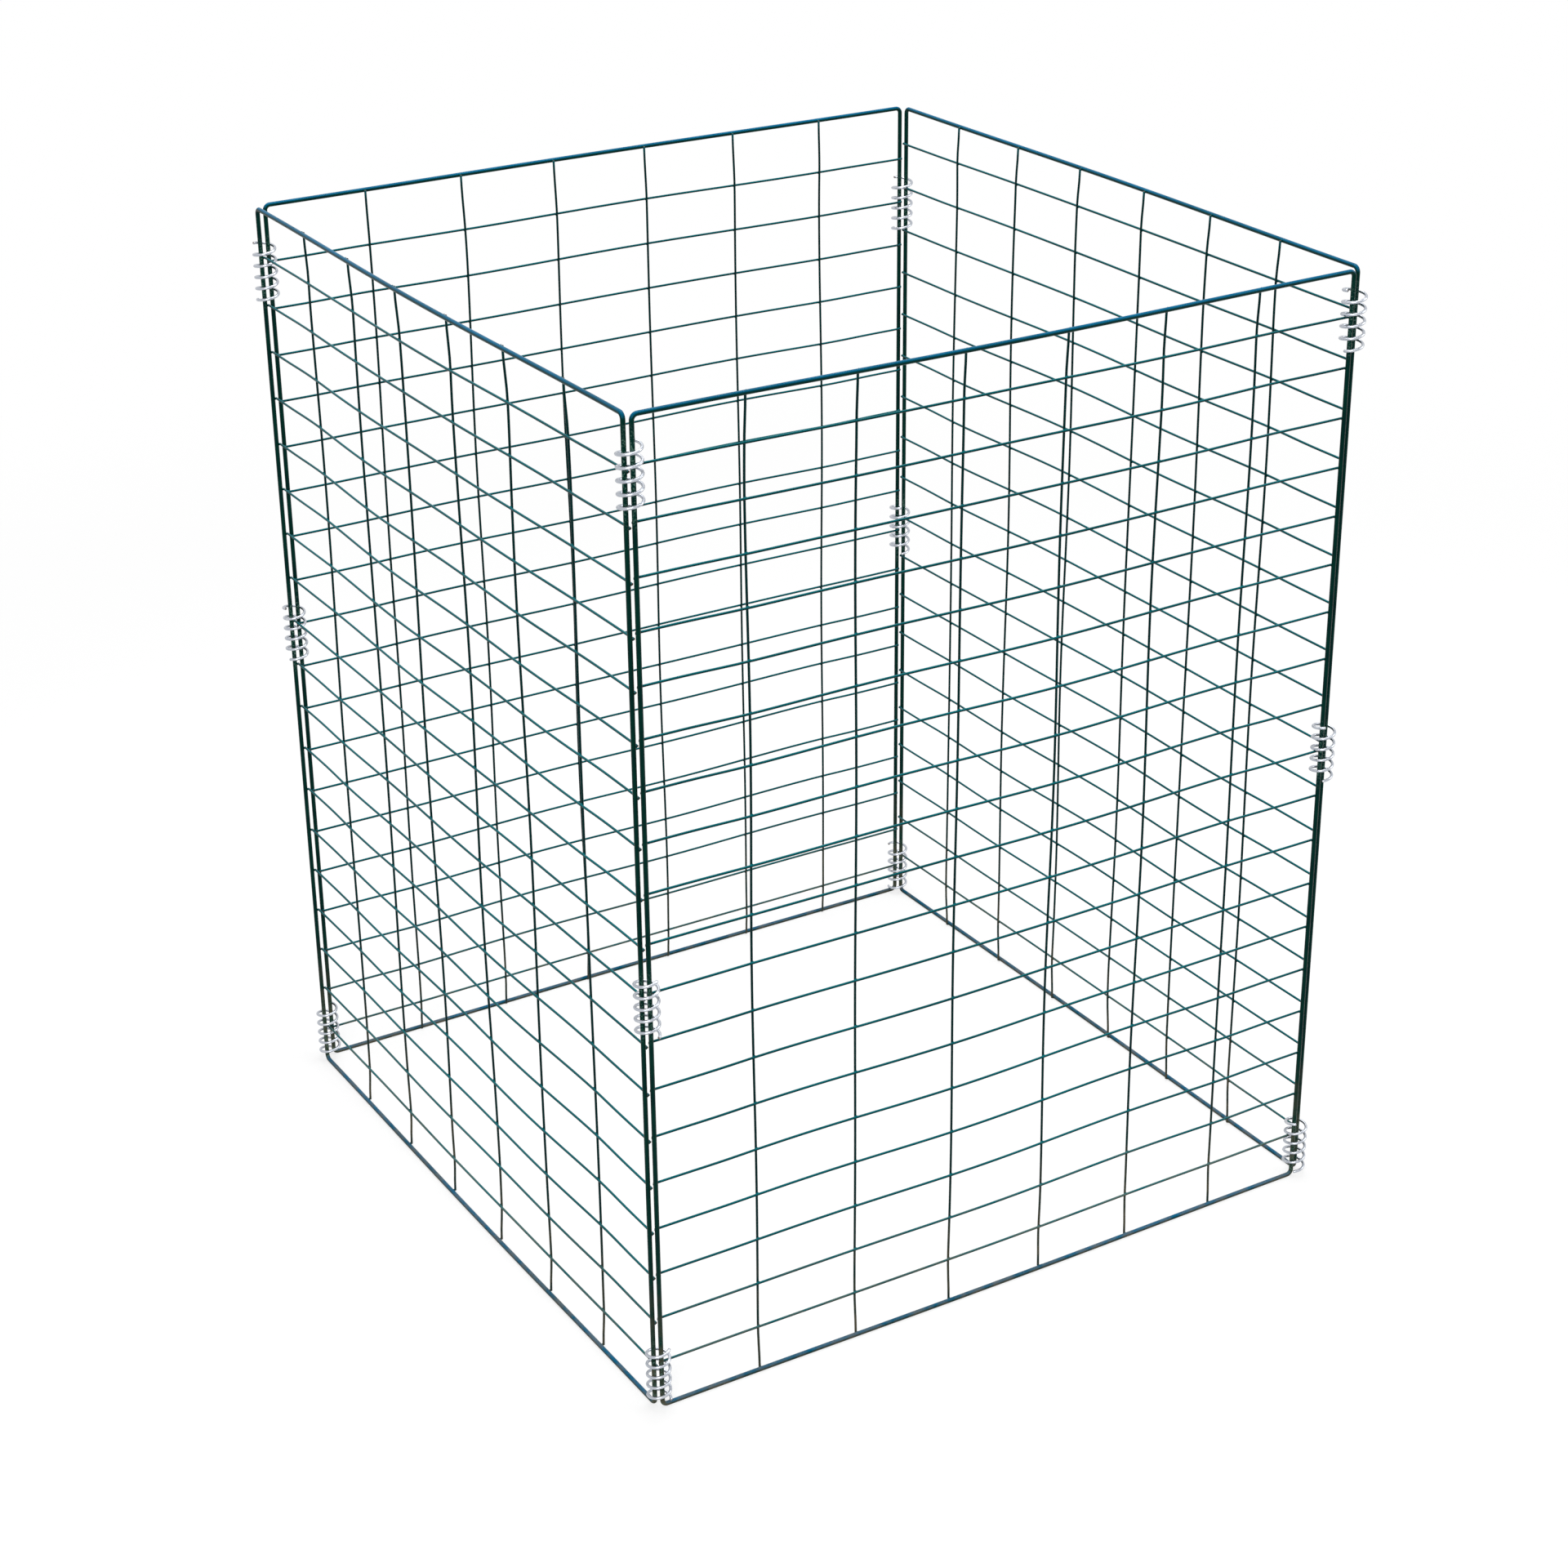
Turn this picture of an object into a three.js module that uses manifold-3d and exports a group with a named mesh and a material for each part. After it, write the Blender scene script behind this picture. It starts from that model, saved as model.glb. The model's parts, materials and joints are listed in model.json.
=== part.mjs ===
// Collapsible wire mesh compost bin, in millimetres, +Z up, origin on the ground under its middle.
//
// Four upright panels stand in a square. Each panel is a loop of heavy rod with a sheet of welded
// wire mesh on its inner side. At each corner two legs stand side by side, and three spiral wire
// connectors are wound round both, so the corners are hinges and the bin folds flat.
//
// Every panel is made lying along X with its outer side towards -Y. It hinges on its first leg, at
// the -X end, and carries the spirals of the corner at its other end.

import * as THREE from 'three';
import { mergeVertices } from 'three/addons/utils/BufferGeometryUtils.js';
import Module from 'manifold-3d';

const wasm = await Module();
wasm.setup();

// Panels
const panel_width = 711; // over the outsides of the two legs
const panel_height = 914; // ground to the top of the top rail
const rod_diameter = 4.2; // frame rod
const bend_radius = 5; // centre line of the frame's bent corners
const leg_setback = 7.2; // from a corner, where two panels' planes meet, to the axis of each leg

// Mesh
const wire_diameter = 2.2;
const column_count = 7;
const row_count = 20;
const top_row_share = 0.91; // the rows next to the rails, as shares of the other rows
const bottom_row_share = 0.94;
const wire_overhang = 0.5; // past a leg's or a rail's axis, to the end of a wire
const weld_depth = 0.3; // how far crossing wires are pressed into each other
const seat_gap = 0.3; // between a piece and the one that carries it

// Spiral connectors
const spiral_wire_diameter = 2.7;
const spiral_diameter = 22.8; // outside
const spiral_pitch = 10.8; // rise in one turn
const spiral_turns = 5;

// How far each spiral's middle sits below its row of the mesh, as shares of the rows' pitch
const spiral_hang_shares = {
  front: { top: 0.05, middle: 0.02, bottom: 0.26 },
  right: { top: 0.28, middle: 0.19, bottom: 0.26 },
  back: { top: 0.44, middle: 0.4, bottom: 0.26 },
  left: { top: 0.21, middle: 0.27, bottom: 0.26 },
};

// How far each panel's mesh sits below the front panel's, as shares of a spiral's rise in one turn.
// The cross wires of neighbouring panels are then half a turn apart, or one and a half, which
// leaves the wires of both room between the turns of a spiral while the corner folds.
const mesh_drop_shares = { front: 0, right: -0.5, back: 1, left: 0.5 };

// Facets
const rod_sides = 8;
const bend_steps = 5;
const wire_sides = 6;
const spiral_sides = 5;
const spiral_steps = 8; // in one turn

// Sizes that follow
const rod_radius = rod_diameter / 2;
const wire_radius = wire_diameter / 2;
const spiral_wire_radius = spiral_wire_diameter / 2;
const spiral_radius = (spiral_diameter - spiral_wire_diameter) / 2; // centre line
const leg_reach = (panel_width - rod_diameter) / 2; // from the middle of a panel to a leg's axis
const side_reach = leg_reach + leg_setback; // from the middle of the bin to a panel's plane
const column_pitch = (2 * leg_reach) / column_count;
const row_pitch = (panel_height - rod_diameter)
  / (row_count - 2 + top_row_share + bottom_row_share);
const cross_wire_offset = rod_radius + seat_gap + wire_radius; // inwards from the panel's plane
const upright_wire_offset = cross_wire_offset + wire_diameter - weld_depth;

// Each panel's quarter turns from the front, the corner whose spirals it carries, and the cross
// wires, counted down from the top, that they hang on
const panels = {
  front: { turns: 0, corner: 'front_right', spiralRows: { top: 1, middle: 10, bottom: 19 } },
  right: { turns: 1, corner: 'back_right', spiralRows: { top: 2, middle: 10, bottom: 19 } },
  back: { turns: 2, corner: 'back_left', spiralRows: { top: 1, middle: 9, bottom: 19 } },
  left: { turns: 3, corner: 'front_left', spiralRows: { top: 1, middle: 11, bottom: 19 } },
};

const frame_coating = new THREE.MeshStandardMaterial({
  color: 0x12442f, roughness: 0.38, metalness: 0.0,
});
const mesh_coating = new THREE.MeshStandardMaterial({
  color: 0x1f6a63, roughness: 0.35, metalness: 0.0,
});
const zinc = new THREE.MeshStandardMaterial({
  color: 0xc9ccd0, roughness: 0.42, metalness: 0.85,
});

function meshDrop(panel) {
  return mesh_drop_shares[panel] * spiral_pitch;
}

// Height of a cross wire, counted down from the top rail
function rowHeight(row, drop) {
  return panel_height - rod_radius - (top_row_share + row - 1) * row_pitch - drop;
}

// A round section as a ring of corners about `centre`, starting half a side from the direction u
function sectionRing(centre, u, v, reach, sides) {
  return Array.from({ length: sides }, (_, corner) => {
    const angle = ((corner + 0.5) / sides) * 2 * Math.PI;
    return centre.clone()
      .addScaledVector(u, reach * Math.cos(angle))
      .addScaledVector(v, reach * Math.sin(angle));
  });
}

// The skin over a row of rings: closed on itself as a loop, or with a cap at each end
function skin(rings, isLoop) {
  const sides = rings[0].length;
  const spans = isLoop ? rings.length : rings.length - 1;
  const index = [];
  for (let span = 0; span < spans; span += 1) {
    const here = span * sides;
    const there = ((span + 1) % rings.length) * sides;
    for (let side = 0; side < sides; side += 1) {
      const next = (side + 1) % sides;
      index.push(here + side, here + next, there + next);
      index.push(here + side, there + next, there + side);
    }
  }
  if (!isLoop) {
    const last = (rings.length - 1) * sides;
    for (let side = 1; side < sides - 1; side += 1) {
      index.push(0, side + 1, side);
      index.push(last, last + side, last + side + 1);
    }
  }
  const geometry = new THREE.BufferGeometry().setFromPoints(rings.flat());
  geometry.setIndex(index);
  geometry.computeVertexNormals();
  return geometry;
}

// The rod loop of one panel. The flats of its section lie at the rod's radius, one facing down.
function frameGeometry() {
  const across = new THREE.Vector3(0, 1, 0);
  const reach = rod_radius / Math.cos(Math.PI / rod_sides);
  const bend_reach = leg_reach - bend_radius;
  const bend_rise = panel_height / 2 - rod_radius - bend_radius;
  const rings = [];
  [[1, 1], [-1, 1], [-1, -1], [1, -1]].forEach(([right, up], corner) => {
    for (let step = 0; step <= bend_steps; step += 1) {
      const angle = ((corner + step / bend_steps) * Math.PI) / 2;
      const outward = new THREE.Vector3(Math.cos(angle), 0, Math.sin(angle));
      const centre = new THREE.Vector3(right * bend_reach, 0, panel_height / 2 + up * bend_rise)
        .addScaledVector(outward, bend_radius);
      rings.push(sectionRing(centre, outward, across, reach, rod_sides));
    }
  });
  return skin(rings, true);
}

function toSolid(geometry) {
  const bare = geometry.clone();
  bare.deleteAttribute('normal');
  bare.deleteAttribute('uv');
  const merged = mergeVertices(bare);
  return new wasm.Manifold(new wasm.Mesh({
    numProp: 3,
    vertProperties: new Float32Array(merged.attributes.position.array),
    triVerts: new Uint32Array(merged.index.array),
  }));
}

function toGeometry(solid) {
  const mesh = solid.getMesh();
  const geometry = new THREE.BufferGeometry();
  geometry.setAttribute('position', new THREE.BufferAttribute(mesh.vertProperties, 3));
  geometry.setIndex(new THREE.BufferAttribute(mesh.triVerts, 1));
  geometry.computeVertexNormals();
  return geometry;
}

// A cross wire along X, with two flats of its section facing +Y and -Y
function crossWireGeometry() {
  const reach = wire_radius / Math.cos(Math.PI / wire_sides);
  const length = 2 * (leg_reach + wire_overhang);
  return new THREE.CylinderGeometry(reach, reach, length, wire_sides).rotateZ(-Math.PI / 2);
}

// An upright wire. It stands inside the cross wires, and beyond the last of them it leans out to
// lie against the rails.
function uprightGeometry(drop) {
  const inward = new THREE.Vector3(0, 1, 0);
  const aside = new THREE.Vector3(-1, 0, 0);
  const reach = wire_radius / Math.cos(Math.PI / wire_sides);
  const end_height = rod_radius - wire_overhang;
  const places = [
    [cross_wire_offset, end_height],
    [upright_wire_offset, rowHeight(row_count - 1, drop)],
    [upright_wire_offset, rowHeight(1, drop)],
    [cross_wire_offset, panel_height - end_height],
  ];
  return skin(places.map(([offset, height]) => sectionRing(
    new THREE.Vector3(0, offset, height), inward, aside, reach, wire_sides,
  )), false);
}

// The mesh of one panel, welded to the inner side of the legs and the rails, with its upright wires
// on the inner side of its cross wires
function meshGeometry(drop) {
  const wires = [];
  for (let row = 1; row < row_count; row += 1) {
    wires.push(crossWireGeometry().translate(0, cross_wire_offset, rowHeight(row, drop)));
  }
  for (let column = 1; column < column_count; column += 1) {
    wires.push(uprightGeometry(drop).translate(column * column_pitch - leg_reach, 0, 0));
  }
  const sheet = wires.map(toSolid).reduce((joined, wire) => joined.add(wire));
  return toGeometry(sheet);
}

// Angle round a spiral at which its own panel's cross wires pass under its centre line
function wireAngle() {
  const aside = leg_setback / 2 - cross_wire_offset;
  const along = Math.sqrt(spiral_radius ** 2 - aside ** 2);
  return new THREE.Vector2(-along, -aside).angle();
}

// Centre line of one right-handed spiral about the Z axis. One of its turns rests on a cross wire
// of its own panel.
function spiralPoints(panel, level) {
  const row = panels[panel].spiralRows[level];
  const middle = rowHeight(row, 0) - spiral_hang_shares[panel][level] * row_pitch;
  const foot = middle - (spiral_turns * spiral_pitch) / 2;
  const seat = rowHeight(row, meshDrop(panel)) + wire_radius + seat_gap + spiral_wire_radius;
  const start_angle = wireAngle() - (2 * Math.PI * (seat - foot)) / spiral_pitch;
  const count = spiral_turns * spiral_steps;
  return Array.from({ length: count + 1 }, (_, step) => {
    const turns = step / spiral_steps;
    const angle = start_angle + 2 * Math.PI * turns;
    return {
      outward: new THREE.Vector3(Math.cos(angle), Math.sin(angle), 0),
      centre: new THREE.Vector3(
        spiral_radius * Math.cos(angle),
        spiral_radius * Math.sin(angle),
        foot + turns * spiral_pitch,
      ),
    };
  });
}

function spiralGeometry(panel, level) {
  const rings = spiralPoints(panel, level).map(({ centre, outward }) => {
    const forward = new THREE.Vector3(-outward.y, outward.x, 0)
      .multiplyScalar(2 * Math.PI * spiral_radius)
      .setZ(spiral_pitch)
      .normalize();
    const across = forward.clone().cross(outward);
    return sectionRing(centre, outward, across, spiral_wire_radius, spiral_sides);
  });
  return skin(rings, false);
}

// Least clear distance between the wire of a spiral and the same wire at least half a turn on
function leastSpiralGap(panel, level) {
  const points = spiralPoints(panel, level);
  let least = Infinity;
  points.forEach((from, first) => {
    points.slice(first + spiral_steps / 2).forEach((to) => {
      least = Math.min(least, from.centre.distanceTo(to.centre) - spiral_wire_diameter);
    });
  });
  return least;
}

function namedMesh(name, geometry, material) {
  const mesh = new THREE.Mesh(geometry, material);
  mesh.name = name;
  return mesh;
}

function panelGroup(panel) {
  const group = new THREE.Group();
  group.add(namedMesh(`${panel}_frame`, frameGeometry(), frame_coating));
  group.add(namedMesh(`${panel}_mesh`, meshGeometry(meshDrop(panel)), mesh_coating));
  const { corner, spiralRows } = panels[panel];
  Object.keys(spiralRows).forEach((level) => {
    const name = `${corner}_spiral_${level}`;
    const spiral = namedMesh(name, spiralGeometry(panel, level), zinc);
    spiral.position.set(leg_reach + leg_setback / 2, leg_setback / 2, 0);
    group.add(spiral);
    console.log(`${name}: least gap to itself ${leastSpiralGap(panel, level).toFixed(2)} mm`);
  });
  return group;
}

const bin = new THREE.Group();
Object.entries(panels).forEach(([panel, { turns }]) => {
  const group = panelGroup(panel);
  const angle = (turns * Math.PI) / 2;
  group.rotation.z = angle;
  group.position.set(side_reach * Math.sin(angle), -side_reach * Math.cos(angle), 0);
  bin.add(group);
});

export default bin;
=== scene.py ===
# %% [markdown]
# # A wire mesh compost bin that folds flat
#
# The real bin is four steel panels standing in a square. A panel is a loop of heavy rod with a
# sheet of welded wire mesh on its inner side, dipped in a green coating. At each corner two
# upright legs stand side by side, and three spiral wire connectors are wound round both of them.
#
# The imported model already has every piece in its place, with flat-sided wires. So this scene
# loads it as a fixed frame and makes each piece again as smooth wire, with its welds, its cut ends
# and a finish that shows use. Everything is in metres, with Z up and the origin on the ground.

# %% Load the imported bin
import json
import math

import bpy
import numpy as np
from mathutils import Matrix, Vector

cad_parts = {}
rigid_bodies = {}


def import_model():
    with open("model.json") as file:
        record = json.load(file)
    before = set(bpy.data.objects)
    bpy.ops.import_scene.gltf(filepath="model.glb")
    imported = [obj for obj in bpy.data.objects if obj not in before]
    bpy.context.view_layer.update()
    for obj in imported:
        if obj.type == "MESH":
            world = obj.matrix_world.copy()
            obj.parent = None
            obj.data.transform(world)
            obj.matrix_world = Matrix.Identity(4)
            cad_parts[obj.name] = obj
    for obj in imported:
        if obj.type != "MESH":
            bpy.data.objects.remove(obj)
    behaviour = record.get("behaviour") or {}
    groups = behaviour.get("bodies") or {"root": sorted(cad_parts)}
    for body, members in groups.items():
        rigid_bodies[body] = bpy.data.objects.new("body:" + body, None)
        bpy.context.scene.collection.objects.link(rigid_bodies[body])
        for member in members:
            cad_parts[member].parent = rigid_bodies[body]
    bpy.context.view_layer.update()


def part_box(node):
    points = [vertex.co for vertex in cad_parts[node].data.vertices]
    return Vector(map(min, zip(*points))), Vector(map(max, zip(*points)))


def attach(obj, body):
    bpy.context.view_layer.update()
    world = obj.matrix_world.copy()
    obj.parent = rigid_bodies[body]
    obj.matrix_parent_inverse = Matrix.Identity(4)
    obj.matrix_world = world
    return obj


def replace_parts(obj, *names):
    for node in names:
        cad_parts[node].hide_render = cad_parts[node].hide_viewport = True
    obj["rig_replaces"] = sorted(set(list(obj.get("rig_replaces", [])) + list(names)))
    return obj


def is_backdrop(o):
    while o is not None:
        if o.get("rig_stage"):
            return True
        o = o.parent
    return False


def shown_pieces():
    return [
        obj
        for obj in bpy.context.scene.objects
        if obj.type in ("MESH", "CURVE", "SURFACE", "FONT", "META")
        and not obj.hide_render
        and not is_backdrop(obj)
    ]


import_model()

# %% [markdown]
# ## Sizes
#
# The outline of a panel can be read from the box of its rod loop. The sizes that a box does not
# show, such as the thickness of a wire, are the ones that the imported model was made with.

# %% Sizes of a panel
panel_low, panel_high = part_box("front_frame")
PANEL_HEIGHT = panel_high.z
ROD_RADIUS = (panel_high.y - panel_low.y) / 2
LEG_REACH = panel_high.x - ROD_RADIUS  # from the middle of a panel to a leg's axis
SIDE_REACH = -(panel_high.y + panel_low.y) / 2  # from the middle of the bin to a panel's plane
LEG_SETBACK = SIDE_REACH - LEG_REACH
BEND_RADIUS = 0.005
loop_width = 2 * (LEG_REACH + ROD_RADIUS)
print(f"rod loop {loop_width:.3f} by {PANEL_HEIGHT:.3f}, rod radius {ROD_RADIUS:.4f}")

# %% Sizes of the mesh
WIRE_RADIUS = 0.0011
COLUMNS = 7
ROWS = 20
TOP_ROW_SHARE = 0.91
BOTTOM_ROW_SHARE = 0.94
CROSS_WIRE_OFFSET = 0.0035  # inwards from the panel's plane
UPRIGHT_OFFSET = 0.0054  # the uprights lie on the inner side of the cross wires
WIRE_OVERHANG = 0.0005  # of a wire past a leg's or a rail's axis
COLUMN_PITCH = 2 * LEG_REACH / COLUMNS
ROW_PITCH = (PANEL_HEIGHT - 2 * ROD_RADIUS) / (ROWS - 2 + TOP_ROW_SHARE + BOTTOM_ROW_SHARE)
print(f"one opening of the mesh is {COLUMN_PITCH:.4f} by {ROW_PITCH:.4f}")

# %% Sizes of a spiral connector
SPIRAL_WIRE_RADIUS = 0.00135
SPIRAL_RADIUS = 0.01005  # of the wire's centre line
SPIRAL_PITCH = 0.0108
SPIRAL_TURNS = 5
SEAT_GAP = 0.0003

# %% [markdown]
# Going round the bin, each panel hinges on its first leg and carries the spirals of the corner at
# its other end. `drop` is how far its mesh sits below the front panel's, in turns of a spiral:
# neighbours are half a turn apart, or one and a half, so that the wires of both find room between
# the turns when the corner folds. `spirals` gives the cross wire that each spiral hangs on, and
# how far below it the spiral's middle is, as a share of the rows' pitch.
#
# The spirals are wider than the two legs in them, so a standing bin is never quite true. `slack`
# is how far a panel has slipped along itself, and how far its first and its second leg are pushed
# inwards. Two opposite corners are pushed together, and the other two are pulled until the legs
# nearly touch the spirals.

# %% The four panels
PANELS = {
    "front": dict(
        turns=0, corner="front_right", drop=0.0, slack=(-0.0018, 0, 0.0015),
        spirals=dict(top=(1, 0.05), middle=(10, 0.02), bottom=(19, 0.26)),
    ),
    "right": dict(
        turns=1, corner="back_right", drop=-0.5, slack=(0.0018, -0.0015, 0.0008),
        spirals=dict(top=(2, 0.28), middle=(10, 0.19), bottom=(19, 0.26)),
    ),
    "back": dict(
        turns=2, corner="back_left", drop=1.0, slack=(-0.0018, 0, 0.0015),
        spirals=dict(top=(1, 0.44), middle=(9, 0.4), bottom=(19, 0.26)),
    ),
    "left": dict(
        turns=3, corner="front_left", drop=0.5, slack=(0.0018, -0.0015, 0.0008),
        spirals=dict(top=(1, 0.21), middle=(11, 0.27), bottom=(19, 0.26)),
    ),
}
BEFORE = dict(front="left", right="front", back="right", left="back")


def row_height(row, panel, share=1.0):
    """Top rail's axis, less the rows above this one, less the share of the panel's own drop."""
    rows_down = TOP_ROW_SHARE + row - 1
    drop = PANELS[panel]["drop"] * SPIRAL_PITCH * share
    return PANEL_HEIGHT - ROD_RADIUS - rows_down * ROW_PITCH - drop


def stand_up(points, panel, slides=True):
    """Panel coordinates to the bin's: the slack and a step out to the panel's plane, then quarter
    turns about Z. The push of a leg is its share at that leg and fades to the other leg's."""
    slide, first, second = PANELS[panel]["slack"]
    share = np.clip(points[:, :1] / (2 * LEG_REACH) + 0.5, 0, 1)
    push = (first + (second - first) * share) * [0, 1, 0]
    quarter = np.array([[0, 1, 0], [-1, 0, 0], [0, 0, 1]])
    turn = np.linalg.matrix_power(quarter, PANELS[panel]["turns"])
    return (points + push + [slide if slides else 0, -SIDE_REACH, 0]) @ turn


print("top cross wires at", [round(row_height(1, panel), 4) for panel in PANELS])

# %% [markdown]
# ## Wire as a swept circle
#
# Rods, mesh wires and spirals are all round wire. A bevelled curve would draw them too, but a
# circle carried along a path with numpy also gives each ring its own radius, which makes sheared
# ends and weld beads, and a UV map in metres, in which a finish can follow the wire.

# %% One function for every wire


def tube(path, reference, radius, sides, closed=False):
    """Round wires. Round each path point p stands a ring, p + r (cos a * out + sin a * across),
    where a goes once round, `across` is the path's direction x `reference`, and `out` is across x
    the direction. An open wire gets a point in the middle of each end, which closes it.
    `path` is wires x points x 3, and `radius` one r for each point."""
    path = np.asarray(path, float)
    count, rings, _ = path.shape
    ahead = np.roll(path, -1, 1) - np.roll(path, 1, 1) if closed else np.gradient(path, axis=1)
    ahead /= np.linalg.norm(ahead, axis=2, keepdims=True)
    across = np.cross(ahead, np.broadcast_to(reference, path.shape))
    across /= np.linalg.norm(across, axis=2, keepdims=True)
    out = np.cross(across, ahead)
    angle = 2 * np.pi * np.arange(sides) / sides
    circle = out[:, :, None] * np.cos(angle)[:, None] + across[:, :, None] * np.sin(angle)[:, None]
    skin = path[:, :, None] + np.asarray(radius)[None, :, None, None] * circle
    points = skin.reshape(count, rings * sides, 3)

    # quads between each ring and the next, turning the same way as the angle
    ring = np.arange(rings if closed else rings - 1)[:, None]
    side = np.arange(sides)[None, :]
    after = (side + 1) % sides
    near, far = ring * sides, (ring + 1) % rings * sides
    quads = np.stack([near + side, near + after, far + after, far + side], -1)

    # the map's first axis is the length along the wire, and its second the length round it
    ends = np.concatenate([path, path[:, :1]], 1) if closed else path
    steps = np.linalg.norm(np.diff(ends, axis=1), axis=2)
    along = np.concatenate([np.zeros((count, 1)), np.cumsum(steps, 1)], 1)
    round_step = 2 * np.pi * np.max(radius) / sides
    u = np.stack([along[:, ring], along[:, ring], along[:, ring + 1], along[:, ring + 1]], -1)
    v = np.stack([side, side + 1, side + 1, side], -1) * round_step
    quad_map = np.stack(np.broadcast_arrays(u, v), -1).reshape(-1, 4, 2)

    triangles = np.zeros((0, 3), int)
    bare = np.zeros((count, rings, sides))
    if not closed:
        points = np.concatenate([points, path[:, :1], path[:, -1:]], 1)
        first, last, here = rings * sides, rings * sides + 1, np.arange(sides)
        end = (rings - 1) * sides
        triangles = np.concatenate([
            np.stack([np.full(sides, first), (here + 1) % sides, here], -1),
            np.stack([np.full(sides, last), end + here, end + (here + 1) % sides], -1),
        ])
        bare[:, [0, -1]] = 1
    bare = bare.reshape(count, -1)
    if not closed:
        bare = np.concatenate([bare, np.ones((count, 2))], 1)
    step = points.shape[1]
    shift = (np.arange(count) * step)[:, None, None]
    return dict(
        points=points.reshape(-1, 3),
        quads=(quads.reshape(1, -1, 4) + shift).reshape(-1, 4),
        triangles=(triangles[None] + shift).reshape(-1, 3),
        quad_map=quad_map,
        triangle_map=np.zeros((count * len(triangles), 3, 2)),
        bare=bare.ravel(),
    )


# %% [markdown]
# A weld is a small bead of metal, and here it is covered by the coating, which pools around it.
# There are more than six hundred of them, so each is a coarse ellipsoid of forty faces, and one
# call works out all of them.

# %% Weld beads


def beads(centres, radii, sides=8, bands=5):
    """Ellipsoids. A point is centre + radii * (sin b cos a, cos b, sin b sin a), with b from 0 at
    one pole to pi at the other, and a once round. Each pole is one point."""
    centres = np.asarray(centres, float).reshape(-1, 3)
    b = np.pi * np.arange(1, bands)[:, None] / bands
    a = 2 * np.pi * np.arange(sides)[None, :] / sides
    ball = np.broadcast_arrays(np.sin(b) * np.cos(a), np.cos(b), np.sin(b) * np.sin(a))
    ball = np.concatenate([np.stack(ball, -1).reshape(-1, 3), [[0, 1, 0], [0, -1, 0]]]) * radii
    points = centres[:, None] + ball[None]

    band = np.arange(bands - 2)[:, None] * sides
    side, after = np.arange(sides)[None, :], (np.arange(sides)[None, :] + 1) % sides
    quads = np.stack([band + side, band + sides + side, band + sides + after, band + after], -1)
    side, after = side[0], after[0]
    top, bottom = (bands - 1) * sides, (bands - 1) * sides + 1
    low = (bands - 2) * sides
    triangles = np.concatenate([
        np.stack([np.full(sides, top), side, after], -1),
        np.stack([np.full(sides, bottom), low + after, low + side], -1),
    ])
    shift = (np.arange(len(centres)) * points.shape[1])[:, None, None]
    quads = (quads.reshape(1, -1, 4) + shift).reshape(-1, 4)
    triangles = (triangles[None] + shift).reshape(-1, 3)
    points = points.reshape(-1, 3)
    return dict(points=points, quads=quads, triangles=triangles,
                quad_map=points[quads][..., [0, 2]], triangle_map=points[triangles][..., [0, 2]],
                bare=np.zeros(len(points)))


# %% [markdown]
# A form is only arrays so far. `foreach_set` hands a whole array to a mesh at once, which is much
# quicker than one point after another. The new object stays at the origin, with its place in its
# points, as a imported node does. It rides on a body of the frame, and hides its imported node.

# %% Turning arrays into a piece


def joined(forms):
    """Several forms as one: their arrays one after the other, with the point numbers moved on."""
    starts = np.cumsum([0] + [len(form["points"]) for form in forms])
    whole = {key: np.concatenate([form[key] for form in forms]) for key in forms[0]}
    for key in ("quads", "triangles"):
        whole[key] = np.concatenate([form[key] + start for form, start in zip(forms, starts)])
    return whole


def make_piece(name, form, body, node, finish, marks=None):
    """A mesh object with smooth faces, its map and its marks, which rides on a body of the frame
    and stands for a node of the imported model."""
    mesh = bpy.data.meshes.new(name)
    quads, triangles = form["quads"], form["triangles"]
    mesh.vertices.add(len(form["points"]))
    mesh.vertices.foreach_set("co", form["points"].astype(np.float32).ravel())
    corners = np.concatenate([quads.ravel(), triangles.ravel()]).astype(np.int32)
    mesh.loops.add(len(corners))
    mesh.loops.foreach_set("vertex_index", corners)
    starts = [np.arange(len(quads)) * 4, quads.size + np.arange(len(triangles)) * 3]
    mesh.polygons.add(len(quads) + len(triangles))
    mesh.polygons.foreach_set("loop_start", np.concatenate(starts).astype(np.int32))
    mesh.update(calc_edges=True)
    mesh.polygons.foreach_set("use_smooth", np.ones(len(mesh.polygons), bool))
    places = np.concatenate([form["quad_map"].reshape(-1, 2), form["triangle_map"].reshape(-1, 2)])
    mesh.uv_layers.new(name="along_wire").data.foreach_set("uv", places.astype(np.float32).ravel())
    for mark, values in dict(bare=form["bare"], **(marks or {})).items():
        layer = mesh.attributes.new(mark, "FLOAT", "POINT")
        layer.data.foreach_set("value", np.asarray(values, np.float32))
    mesh.materials.append(finish)
    piece = bpy.data.objects.new(name, mesh)
    bpy.context.scene.collection.objects.link(piece)
    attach(piece, body)
    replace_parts(piece, node)
    return piece


# %% [markdown]
# ## Shader maths that reads like maths
#
# A finish is built from noise, masks and sums. Written node by node this is long and hard to
# follow, so one small class wraps a socket. `mask * 0.5 + 0.2` then adds the Math nodes itself,
# and `add` makes any other node from its type, its settings and its inputs.

# %% A shader socket that takes part in sums


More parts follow.
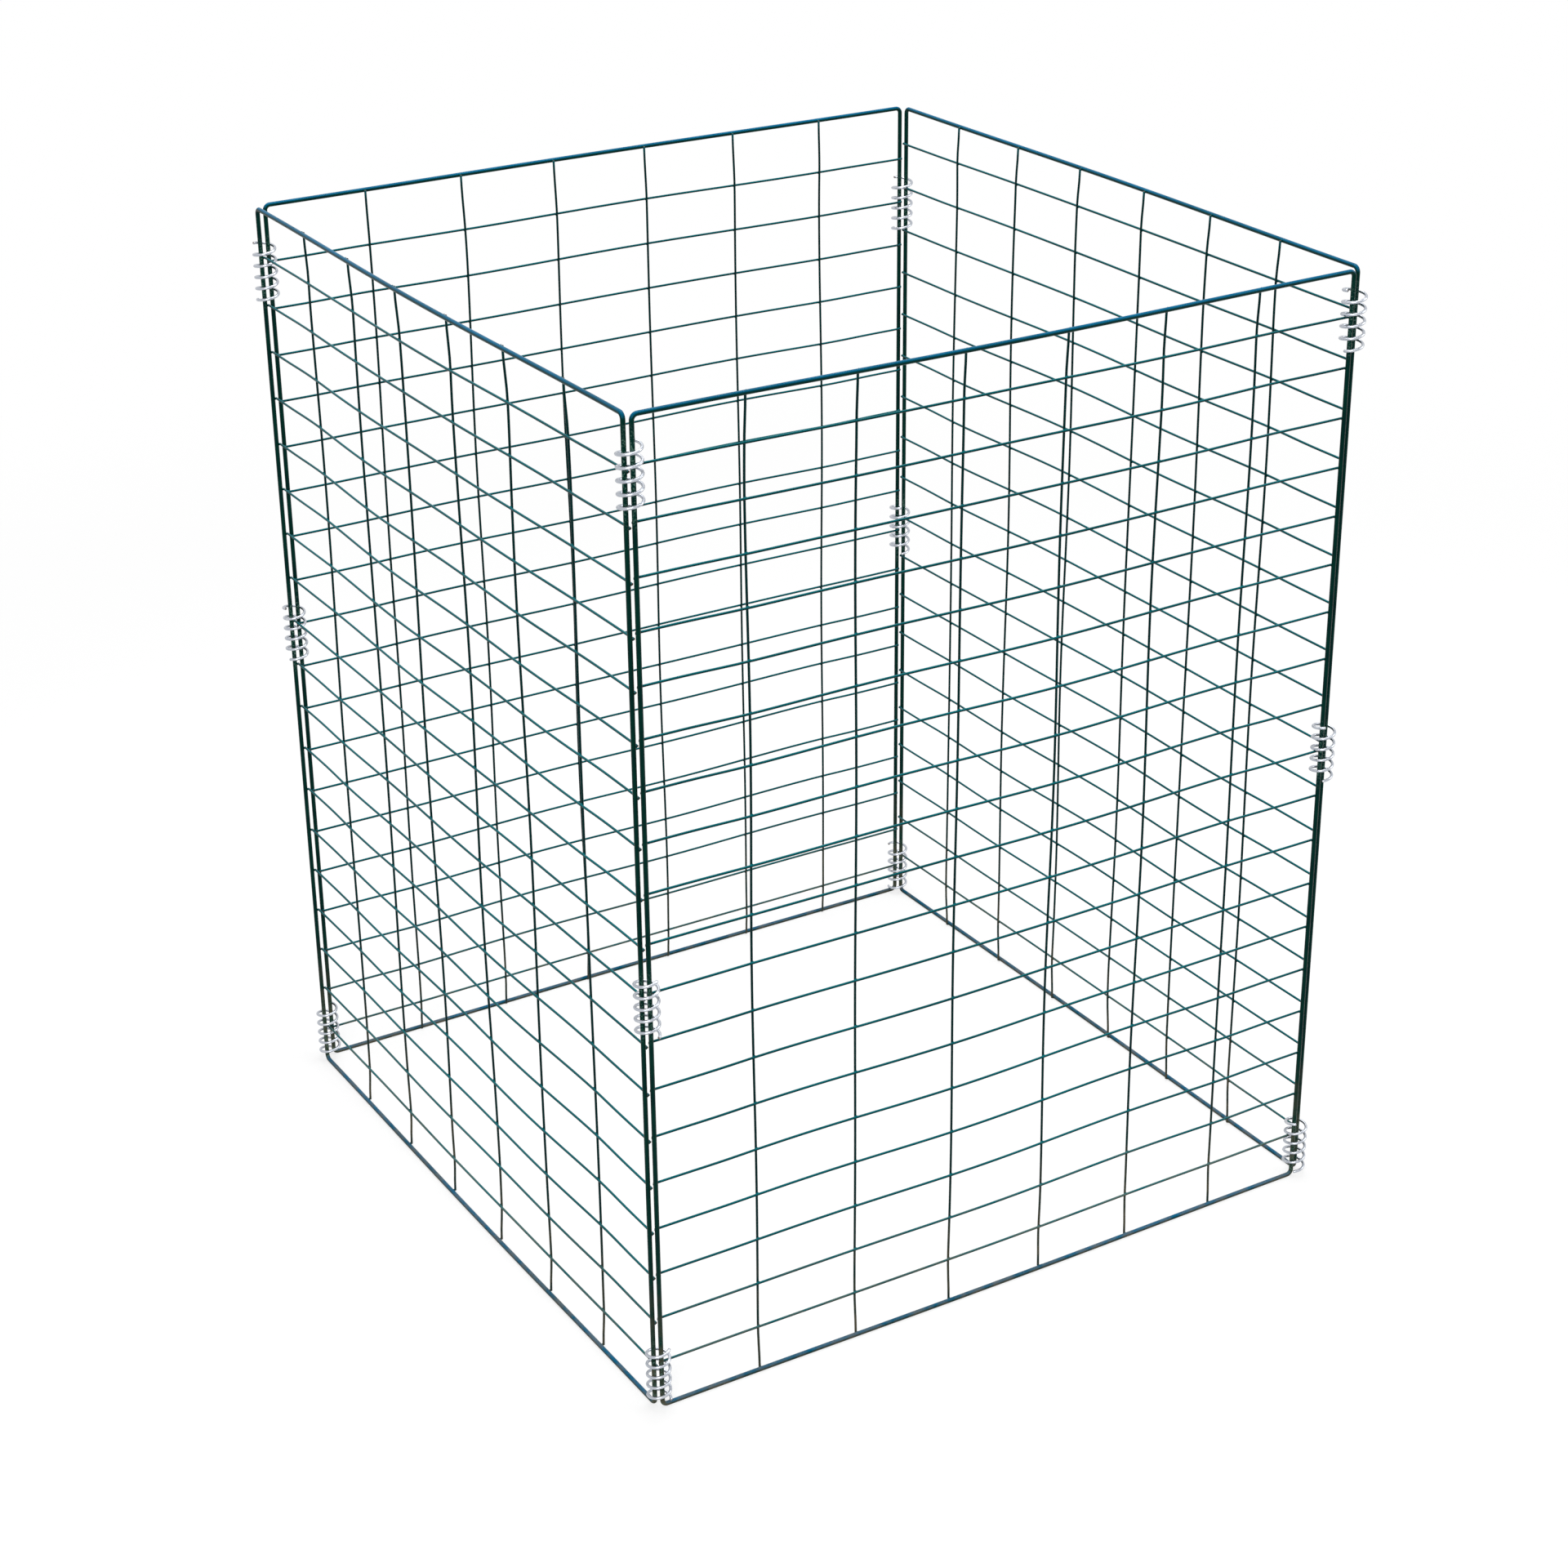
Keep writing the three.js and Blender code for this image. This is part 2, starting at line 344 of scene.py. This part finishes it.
class Socket:
    """An output of a node. An operator between it and a number or socket adds a Math node."""

    def __init__(self, tree, output=None):
        self.tree, self.output = tree, output

    def add(self, kind, settings=None, inputs=None, output=0):
        """A node of a type: first its settings, then a value or a link for each input."""
        node = self.tree.nodes.new(kind)
        for key, value in (settings or {}).items():
            setattr(node, key, value)
        for key, value in (inputs or {}).items():
            if isinstance(value, Socket):
                self.tree.links.new(value.output, node.inputs[key])
            else:
                node.inputs[key].default_value = value
        return Socket(self.tree, node.outputs[output]) if node.outputs else node

    def maths(self, operation, *values):
        return self.add("ShaderNodeMath", dict(operation=operation), dict(enumerate(values)))

    def __add__(self, other):
        return self.maths("ADD", self, other)

    def __radd__(self, other):
        return self.maths("ADD", other, self)

    def __sub__(self, other):
        return self.maths("SUBTRACT", self, other)

    def __rsub__(self, other):
        return self.maths("SUBTRACT", other, self)

    def __mul__(self, other):
        return self.maths("MULTIPLY", self, other)

    def __rmul__(self, other):
        return self.maths("MULTIPLY", other, self)

    def between(self, low, high):
        """0 below low, 1 above high, and a smooth step between them, also with low above high."""
        settings = dict(interpolation_type="SMOOTHSTEP")
        return self.add("ShaderNodeMapRange", settings, {0: self, 1: low, 2: high})

    def noise(self, place, scale, detail=2.0, roughness=0.5):
        inputs = {"Vector": place, "Scale": scale, "Detail": detail, "Roughness": roughness}
        return self.add("ShaderNodeTexNoise", {}, inputs)

    def mix(self, mask, here, there):
        """The colour `here` where the mask is 0, and `there` where it is 1."""
        settings = dict(data_type="RGBA")
        return self.add("ShaderNodeMix", settings, {0: mask, 6: here, 7: there}, output=2)


def linear(*colour):
    """A colour given as eight-bit numbers, as light: ((c/255 + 0.055) / 1.055) to the 2.4."""
    c = np.array(colour) / 255
    return tuple(np.where(c < 0.04045, c / 12.92, ((c + 0.055) / 1.055) ** 2.4)) + (1.0,)


def new_finish(name):
    """An empty material, as the Socket that its first nodes are added from."""
    finish = bpy.data.materials.new(name)
    finish.use_nodes = True
    finish.node_tree.nodes.clear()
    return finish, Socket(finish.node_tree)


# %% [markdown]
# ## The green coating
#
# The steel is dipped or powder coated. The coating is a dark green with a faint orange peel, and
# is glossy but not a mirror. Its upward faces are painted a lighter blue-green, a painted
# reflection of the sky. It is dusty near the ground, scuffed bright where the spirals rub the
# legs, and gone from the sheared wire ends, which rust. Each of these is a mask, and the masks mix
# colours and roughness one after another.
#
# The reflection is tinted blue-green on the shader's own socket: a thin glossy rod shows mostly
# reflections, and plain ones would wash the green out to grey.

# %% Coating


def coating(name, fresh, sky_sheen, pooled):
    """A dark glossy coating: `fresh` colour, `sky_sheen` on top as a painted sky reflection, and
    `pooled` where it lies thick.
    """
    finish, start = new_finish(name)
    place = start.add("ShaderNodeTexCoord", output="Object")
    facing = start.add("ShaderNodeTexCoord", output="Normal")
    upward = start.add("ShaderNodeSeparateXYZ", {}, {0: facing}, output=2)
    height = start.add("ShaderNodeSeparateXYZ", {}, {0: place}, output=2)
    bare = start.add("ShaderNodeAttribute", dict(attribute_name="bare"), output="Fac")
    rub = start.add("ShaderNodeAttribute", dict(attribute_name="rub"), output="Fac")

    # a noise's scale is its waves in a metre: from clouds as wide as a hand to the orange peel
    cloud = start.noise(place, 7.0, 3.0)
    blotch = start.noise(place, 55.0, 4.0, 0.6)
    speck = start.noise(place, 620.0, 3.0, 0.7)
    peel = start.noise(place, 1500.0, 1.0)

    # painted sky reflection: faces that point up are painted the lighter blue-green, in patches
    sky_sheen_mask = upward.between(0.0, 0.85) * (0.6 + 0.4 * cloud.between(0.25, 0.7))
    colour = start.mix(blotch.between(0.35, 0.75), fresh, pooled)
    colour = start.mix(sky_sheen_mask, colour, sky_sheen)
    splashed = height.between(0.16, 0.0) * blotch.between(0.3, 0.7)
    settled = upward.between(0.4, 1.0) * speck.between(0.5, 0.8)
    dust = splashed * 0.45 + settled * 0.12
    colour = start.mix(dust, colour, linear(120, 108, 84))
    scuff = rub * speck.between(0.50, 0.62)
    colour = start.mix(scuff * 0.55, colour, linear(96, 132, 118))
    sheared = bare * speck.between(0.25, 0.5)
    flaked = speck.between(0.745, 0.76) * blotch.between(0.55, 0.7)
    chip = start.maths("MAXIMUM", sheared, flaked)
    colour = start.mix(chip, colour, linear(88, 60, 42))

    gloss = 0.2 + blotch * 0.12 + dust * 0.7 + scuff * 0.12 + chip * 0.4
    relief = peel * 0.3 + speck * 0.25 - chip * 1.2
    bump = {"Strength": 0.35, "Distance": 0.0001, "Height": relief}
    normal = start.add("ShaderNodeBump", {}, bump)
    shader = start.add("ShaderNodeBsdfPrincipled", {}, {
        "Base Color": colour, "Roughness": gloss, "Normal": normal,
        "Specular IOR Level": 0.12, "Specular Tint": linear(110, 208, 255),
    })
    start.add("ShaderNodeOutputMaterial", {}, {"Surface": shader})
    return finish


# the second colour of each coating is the painted sky reflection on its upward faces
FRAME_COATING = coating("frame_coating", linear(0, 40, 26), linear(0, 90, 126), linear(0, 26, 18))
MESH_COATING = coating("mesh_coating", linear(0, 34, 28), linear(0, 100, 108), linear(0, 24, 20))
print("finishes:", FRAME_COATING.name, MESH_COATING.name)

# %% [markdown]
# ## Zinc
#
# The spirals are springy wire with a bright zinc plating. Drawing the wire through a die leaves
# fine lines along it, so one noise is read from the map that follows the wire, stretched a
# hundred times along its length. The plating goes dull and chalky in patches, and the sheared
# ends show dark steel.

# %% Zinc plated wire


def zinc_finish():
    """Bright metal with drawn lines along the wire, chalky patches, and dark rust at its ends."""
    finish, start = new_finish("zinc_wire")
    place = start.add("ShaderNodeTexCoord", output="Object")
    wire_map = start.add("ShaderNodeUVMap", dict(uv_map="along_wire"))
    stretch = {0: wire_map, 1: (0.01, 1.0, 1.0)}
    stretched = start.add("ShaderNodeVectorMath", dict(operation="MULTIPLY"), stretch)
    bare = start.add("ShaderNodeAttribute", dict(attribute_name="bare"), output="Fac")

    lines = start.noise(stretched, 6500.0, 3.0, 0.7)
    patch = start.noise(place, 140.0, 4.0, 0.65)
    speck = start.noise(place, 1100.0, 2.0, 0.6)

    chalk = patch.between(0.52, 0.72) * speck.between(0.35, 0.65)
    colour = start.mix(lines.between(0.3, 0.75), linear(200, 204, 211), linear(150, 156, 167))
    colour = start.mix(chalk * 0.6, colour, linear(220, 221, 220))
    rust = bare * speck.between(0.3, 0.6)
    colour = start.mix(rust, colour, linear(104, 82, 66))
    metal = 1.0 - chalk * 0.45 - rust * 0.5
    gloss = 0.2 + lines * 0.16 + chalk * 0.35 + rust * 0.3
    relief = lines + speck * 0.3
    bump = {"Strength": 0.3, "Distance": 0.00008, "Height": relief}
    normal = start.add("ShaderNodeBump", {}, bump)
    shader = start.add("ShaderNodeBsdfPrincipled", {}, {
        "Base Color": colour, "Metallic": metal, "Roughness": gloss, "Normal": normal,
    })
    start.add("ShaderNodeOutputMaterial", {}, {"Surface": shader})
    return finish


ZINC_WIRE = zinc_finish()
print("finish:", ZINC_WIRE.name)

# %% [markdown]
# ## The sheet is not perfectly flat
#
# Thin wire welded into a big sheet always wanders a little. If every wire moved on its own, the
# welds would come apart, so one smooth field moves the whole sheet: cross wires, uprights and
# beads all ask it where their point goes. It is zero at the legs and, in the panel's plane, at
# the rails.

# %% How a panel's sheet wanders
WANDER = 0.0007  # in the panel's plane
RIPPLE = 0.0008  # in and out of it
BOW = dict(front=0.006, right=0.004, back=0.004, left=0.005)  # of the rails, outwards
LEG_FADE = (0.11, 0.03)  # from a leg, where the waves start to fade and where they are gone
RAIL_FADE = (0.09, 0.004)  # the same from the top and the ground


def smooth(low, high, value):
    """3 t^2 - 2 t^3, where t goes from 0 at low to 1 at high and stays there outside them."""
    t = np.clip((value - low) / (high - low), 0, 1)
    return t * t * (3 - 2 * t)


def bow(x, z, panel):
    """The panel's outward curve: the square of a cosine across it, all of it at the top and 35% at
    the ground."""
    across = np.cos(np.pi * x / (2 * LEG_REACH)) ** 2
    return BOW[panel] * across * (0.35 + 0.65 * z / PANEL_HEIGHT)


def sheet_place(x, offset, z, panel):
    """Where the sheet's point (x, z) goes: sines of a few wavelengths, times two windows that
    fade them out at the legs and at the rails. `offset` is how far inside the plane it lies."""
    own = 1.7 * PANELS[panel]["turns"]
    far, near = LEG_FADE
    by_legs = 1 - smooth(LEG_REACH - far, LEG_REACH - near, np.abs(x))
    far, near = RAIL_FADE
    by_rails = smooth(near, far, z) * (1 - smooth(PANEL_HEIGHT - far, PANEL_HEIGHT - near, z))
    sideways = WANDER * np.sin(2 * np.pi * (z / 0.41 + x / 0.93) + own) * by_legs * by_rails
    upwards = WANDER * np.sin(2 * np.pi * (x / 0.37 - z / 1.3) + 2 * own) * by_legs * by_rails
    outwards = RIPPLE * np.sin(2 * np.pi * (x / 0.29 + z / 0.53) + 3 * own) * by_legs * by_rails
    outwards = outwards + bow(x, z, panel)
    return np.stack(np.broadcast_arrays(x + sideways, offset - outwards, z + upwards), -1)


# %% [markdown]
# ## Rod loops
#
# The frame of a panel is one length of rod, bent four times and butt welded to itself, so it is a
# circle carried round a rounded rectangle. The joint in the bottom rail is a short spindle a
# little fatter than the rod. The spirals rub the legs, so the points beside them carry a mark
# called `rub`, which the coating reads.

# %% Rod loops
ROD_SIDES = 24
SEAM_PLACE = 0.052  # of the butt weld along the bottom rail, from the rail's middle
SEAM_REACH = 0.0035  # to each side of its place
SEAM_ENDS, SEAM_MIDDLE = 0.96, 1.05  # its radius, as shares of the rod's
SEAM_RINGS = 15


def loop_path(panel, bend_steps=12, straight_steps=48):
    """A quarter circle round each bend, then equal steps along the straight to the next one."""
    reach, rise = LEG_REACH - BEND_RADIUS, PANEL_HEIGHT / 2 - ROD_RADIUS - BEND_RADIUS
    signs = np.array([[1, 1], [-1, 1], [-1, -1], [1, -1]])
    angle = (np.arange(4)[:, None] + np.linspace(0, 1, bend_steps + 1)) * np.pi / 2
    middle = signs * [reach, rise]
    bends = middle[:, None] + BEND_RADIUS * np.stack([np.cos(angle), np.sin(angle)], -1)
    share = np.linspace(0, 1, straight_steps + 1)[1:-1, None]
    after = np.roll(bends[:, 0], -1, 0)[:, None]
    straights = bends[:, -1:] + (after - bends[:, -1:]) * share
    x, z = np.concatenate([bends, straights], 1).reshape(-1, 2).T
    z = z + PANEL_HEIGHT / 2
    return np.stack([x, -bow(x, z, panel), z], -1)


def rub_marks(points, panel):
    """1 on a leg beside the turns of a spiral and 0 elsewhere, with a soft step between them."""
    x, z = points[:, 0], points[:, 2]
    reach = SPIRAL_TURNS * SPIRAL_PITCH / 2 + SPIRAL_WIRE_RADIUS
    marks = np.zeros(len(points))
    for leg, owner in ((1, panel), (-1, BEFORE[panel])):
        for row, hang in PANELS[owner]["spirals"].values():
            middle = row_height(row, owner, share=0) - hang * ROW_PITCH
            beside = 1 - smooth(reach - 0.001, reach + 0.004, np.abs(z - middle))
            marks = np.maximum(marks, beside * (leg * x > LEG_REACH - BEND_RADIUS))
    return marks


def rod_loop(panel):
    """A tube on the loop path, and the butt weld as a short tube whose radius swells with the
    square of a cosine."""
    path = loop_path(panel)
    loop = tube(path[None], (0, 1, 0), np.full(len(path), ROD_RADIUS), ROD_SIDES, closed=True)

    # the weld's middle is lifted until its fattest ring stands on the ground
    x = SEAM_PLACE + np.linspace(-SEAM_REACH, SEAM_REACH, SEAM_RINGS)
    z = np.full(SEAM_RINGS, SEAM_MIDDLE * ROD_RADIUS)
    seam_path = np.stack([x, -bow(x, ROD_RADIUS, panel), z], -1)
    swell = np.cos(np.linspace(-np.pi / 2, np.pi / 2, SEAM_RINGS)) ** 2
    radius = ROD_RADIUS * (SEAM_ENDS + (SEAM_MIDDLE - SEAM_ENDS) * swell)
    seam = tube(seam_path[None], (0, 1, 0), radius, ROD_SIDES)
    seam["bare"][:] = 0
    whole = joined([loop, seam])
    marks = dict(rub=rub_marks(whole["points"], panel))
    whole["points"] = stand_up(whole["points"], panel)
    name, node = f"{panel}_rod_loop", f"{panel}_frame"
    return make_piece(name, whole, panel, node, FRAME_COATING, marks)


for panel in PANELS:
    piece = rod_loop(panel)
    print(piece.name, len(piece.data.polygons), "faces")

# %% [markdown]
# ## Mesh sheets
#
# Nineteen cross wires are welded to the inner side of the two legs, and six uprights to the inner
# side of the cross wires. All the cross wires of a sheet are one call, because they differ only in
# their height. Past the last cross wire, at each end, an upright curves out to lie on the rail.

# %% Mesh sheets
WIRE_SIDES = 12
CROSS_WIRE_STEPS, UPRIGHT_STEPS = 56, 76
CROSSING_BEAD = (0.0019, 0.0008, 0.0017)  # reach along the panel, across it and upwards
LEG_BEAD = (0.0017, 0.0006, 0.0014)
RAIL_BEAD = (0.0014, 0.0006, 0.0017)
BEAD_SEAT = ROD_RADIUS + 0.0002  # from the panel's plane in to the beads on the rod


def stations(start, stop, steps, chamfer=0.0004):
    """Places along a wire with a small bevel at each end, and the share of its radius at each."""
    inner = np.linspace(start + chamfer, stop - chamfer, steps + 1)
    places = np.concatenate([[start], inner, [stop]])
    shares = np.concatenate([[0.7], np.ones(steps + 1), [0.7]])
    return places, shares


def mesh_sheet(panel):
    """Tubes on straight lines that the sheet's field has moved, and a bead at each weld."""
    heights = row_height(np.arange(1, ROWS), panel)[:, None]
    columns = (np.arange(1, COLUMNS) * COLUMN_PITCH - LEG_REACH)[:, None]

    reach = LEG_REACH + WIRE_OVERHANG
    x, share = stations(-reach, reach, CROSS_WIRE_STEPS)
    path = sheet_place(x, CROSS_WIRE_OFFSET, heights, panel)
    cross_wires = tube(path, (0, 0, 1), WIRE_RADIUS * share, WIRE_SIDES)

    low_rail, high_rail = ROD_RADIUS, PANEL_HEIGHT - ROD_RADIUS
    z, share = stations(low_rail - WIRE_OVERHANG, high_rail + WIRE_OVERHANG, UPRIGHT_STEPS)
    inside = smooth(low_rail, heights.min(), z) * (1 - smooth(heights.max(), high_rail, z))
    offset = CROSS_WIRE_OFFSET + (UPRIGHT_OFFSET - CROSS_WIRE_OFFSET) * inside
    path = sheet_place(columns, offset, z, panel)
    uprights = tube(path, (0, 1, 0), WIRE_RADIUS * share, WIRE_SIDES)

    between = (CROSS_WIRE_OFFSET + UPRIGHT_OFFSET) / 2
    crossings = beads(sheet_place(columns.T, between, heights, panel), CROSSING_BEAD)
    legs = np.array([[-LEG_REACH, LEG_REACH]])
    leg_welds = beads(sheet_place(legs, BEAD_SEAT, heights, panel), LEG_BEAD)
    rails = np.array([low_rail, high_rail])
    rail_welds = beads(sheet_place(columns, BEAD_SEAT, rails, panel), RAIL_BEAD)

    whole = joined([cross_wires, uprights, crossings, leg_welds, rail_welds])
    marks = dict(rub=np.zeros(len(whole["points"])))
    whole["points"] = stand_up(whole["points"], panel)
    name, node = f"{panel}_mesh_sheet", f"{panel}_mesh"
    return make_piece(name, whole, panel, node, MESH_COATING, marks)


for panel in PANELS:
    piece = mesh_sheet(panel)
    print(piece.name, len(piece.data.polygons), "faces")

# %% [markdown]
# ## Spiral connectors
#
# A spiral is one circle carried along a right-handed helix. It is screwed down over both legs
# until one of its turns rests on a cross wire of the panel that carries it, so its angle is
# worked back from that wire. The ends are sheared off square, with a small bevel.

# %% Spiral connectors
SPIRAL_SIDES = 16
SPIRAL_STEPS = 48  # in one turn
SPIRAL_BEVEL = 0.008  # of a turn


def spiral_path(panel, row, hang):
    """Helix about the corner: (R cos a, R sin a, foot + pitch * turns), a = start + 2 pi turns.
    `start` is the angle at which the turn over the cross wire comes down to the wire's top."""
    foot = row_height(row, panel, share=0) - hang * ROW_PITCH - SPIRAL_TURNS * SPIRAL_PITCH / 2
    seat = row_height(row, panel) + WIRE_RADIUS + SEAT_GAP + SPIRAL_WIRE_RADIUS
    aside = LEG_SETBACK / 2 - CROSS_WIRE_OFFSET
    wire_angle = math.atan2(-aside, -math.sqrt(SPIRAL_RADIUS**2 - aside**2))
    start = wire_angle - 2 * np.pi * (seat - foot) / SPIRAL_PITCH
    turns, share = stations(0, SPIRAL_TURNS, SPIRAL_TURNS * SPIRAL_STEPS, SPIRAL_BEVEL)
    angle = start + 2 * np.pi * turns
    out = np.stack([np.cos(angle), np.sin(angle), np.zeros_like(angle)], -1)
    path = SPIRAL_RADIUS * out + np.stack([0 * turns, 0 * turns, foot + SPIRAL_PITCH * turns], -1)
    return path + [LEG_REACH + LEG_SETBACK / 2, LEG_SETBACK / 2, 0], out, share


def spiral(panel, level):
    """A tube on the helix, whose rings start on the side away from its axis."""
    path, out, share = spiral_path(panel, *PANELS[panel]["spirals"][level])
    form = tube(path[None], out[None], SPIRAL_WIRE_RADIUS * share, SPIRAL_SIDES)
    form["points"] = stand_up(form["points"], panel, slides=False)
    corner = PANELS[panel]["corner"]
    name, node = f"{corner}_{level}_spiral_wire", f"{corner}_spiral_{level}"
    return make_piece(name, form, panel, node, ZINC_WIRE)


for panel in PANELS:
    for level in PANELS[panel]["spirals"]:
        piece = spiral(panel, level)
        print(piece.name, len(piece.data.polygons), "faces")

# %% [markdown]
# Every new piece should fill the box of the node that it stands for, apart from the slack, the bow
# and the bevels, which come to about 2 mm at a spiral and up to 6 mm at a panel. A wrong sign
# would show here.

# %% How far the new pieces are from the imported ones
for piece in [o for o in bpy.data.objects if "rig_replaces" in o]:
    points = np.empty(len(piece.data.vertices) * 3, np.float32)
    piece.data.vertices.foreach_get("co", points)
    points = points.reshape(-1, 3)
    low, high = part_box(piece["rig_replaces"][0])
    off = max(np.abs(points.min(0) - low).max(), np.abs(points.max(0) - high).max())
    print(f"{piece.name}: box within {1000 * off:.2f} mm")

# %% [markdown]
# ## Floor and light
#
# The floor is pale and plain. The light is soft: one wide lamp overhead as the sky, one from the
# camera's left and a weak one from the right, over an even grey world. What the camera and the
# reflections see of the floor and the world is white by itself, so the lamps stay at the plain
# level at which a colour looks as it is written.

# %% Floor
FLOOR_REACH = 20


def seen_rays(start):
    """1 for a ray from the camera, off something shiny or through something clear, and else 0."""
    seen = start.add("ShaderNodeLightPath", output="Is Camera Ray")
    for ray in ("Is Glossy Ray", "Is Transmission Ray"):
        seen = start.maths("MAXIMUM", seen, start.add("ShaderNodeLightPath", output=ray))
    return seen


floor_signs = ((-1, -1), (1, -1), (1, 1), (-1, 1))
floor_corners = [(x * FLOOR_REACH, y * FLOOR_REACH, 0) for x, y in floor_signs]
floor_mesh = bpy.data.meshes.new("floor")
floor_mesh.from_pydata(floor_corners, [], [(0, 1, 2, 3)])
floor = bpy.data.objects.new("floor", floor_mesh)
bpy.context.scene.collection.objects.link(floor)
floor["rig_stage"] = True

floor_finish, start = new_finish("pale_floor")
seen = seen_rays(start)
place = start.add("ShaderNodeTexCoord", output="Object")
length = dict(operation="LENGTH")
away = start.add("ShaderNodeVectorMath", length, {0: place}, output="Value").between(0.7, 2.6)
tone = start.mix(start.noise(place, 3.0, 3.0), (0.9, 0.9, 0.9, 1), (0.96, 0.96, 0.96, 1))
tone = start.mix(seen, (0.5, 0.5, 0.5, 1), tone)
matt = start.add("ShaderNodeBsdfDiffuse", {}, {"Color": tone})
glow = start.add("ShaderNodeEmission", {}, {"Strength": 1.0})
surface = start.add("ShaderNodeMixShader", {}, {0: seen * (0.72 + away * 0.28), 1: matt, 2: glow})
start.add("ShaderNodeOutputMaterial", {}, {"Surface": surface})
floor_mesh.materials.append(floor_finish)

# %% World
world = bpy.data.worlds.new("studio")
bpy.context.scene.world = world
world.use_nodes = True
world.node_tree.nodes.clear()
start = Socket(world.node_tree)
light = {"Color": (1, 1, 1, 1), "Strength": seen_rays(start) * 0.6 + 0.4}
background = start.add("ShaderNodeBackground", {}, light)
start.add("ShaderNodeOutputWorld", {}, {"Surface": background})

# %% Lamps
LAMP_AIM = (0, 0, 0.5)


def soft_lamp(name, place, size, watts):
    """A square lamp, tilted from straight down and then turned until it faces the bin."""
    light = bpy.data.lights.new(name, "AREA")
    light.shape, light.size, light.energy = "SQUARE", size, watts
    lamp = bpy.data.objects.new(name, light)
    bpy.context.scene.collection.objects.link(lamp)
    ahead = np.subtract(LAMP_AIM, place)
    tilt = math.atan2(math.hypot(ahead[0], ahead[1]), -ahead[2])
    heading = math.atan2(ahead[0], -ahead[1]) + math.pi
    lamp.location = place
    lamp.rotation_euler = (tilt, 0, heading)


soft_lamp("overhead_lamp", (0.2, 0.3, 3.2), 2.0, 72)
soft_lamp("key_lamp", (-2.6, -2.8, 2.4), 1.6, 90)
soft_lamp("fill_lamp", (2.9, -1.6, 1.8), 1.6, 36)

# %% [markdown]
# ## Camera
#
# The place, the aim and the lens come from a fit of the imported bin's corners and wire crossings
# to the photograph, taken as 1920 pixels square.

# %% Camera
IMAGE_SIDE = 1920
FOCAL_PIXELS = 3814.1
SENSOR_MM = 36
camera_place = np.array([-1.4072, -2.3375, 1.6617])
camera_aim = np.array([-0.1007, -0.1533, 0.457])
camera_roll = math.radians(-0.59)

camera_data = bpy.data.cameras.new("camera")
camera_data.sensor_width = SENSOR_MM
camera_data.lens = FOCAL_PIXELS / IMAGE_SIDE * SENSOR_MM
camera = bpy.data.objects.new("camera", camera_data)
bpy.context.scene.collection.objects.link(camera)
look = Vector(camera_aim - camera_place).to_track_quat("-Z", "Y").to_matrix().to_4x4()
roll = Matrix.Rotation(camera_roll, 4, "Z")
camera.matrix_world = Matrix.Translation(camera_place) @ look @ roll
bpy.context.scene.camera = camera
bpy.context.scene.view_settings.view_transform = "Standard"
distance = np.linalg.norm(camera_aim - camera_place)
print(f"lens {camera_data.lens:.1f} mm, {distance:.2f} m from the aim")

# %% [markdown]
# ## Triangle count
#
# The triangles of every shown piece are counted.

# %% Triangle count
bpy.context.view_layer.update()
triangles = sum(len(p.vertices) - 2 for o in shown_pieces() for p in o.data.polygons)
print("triangles:", triangles)
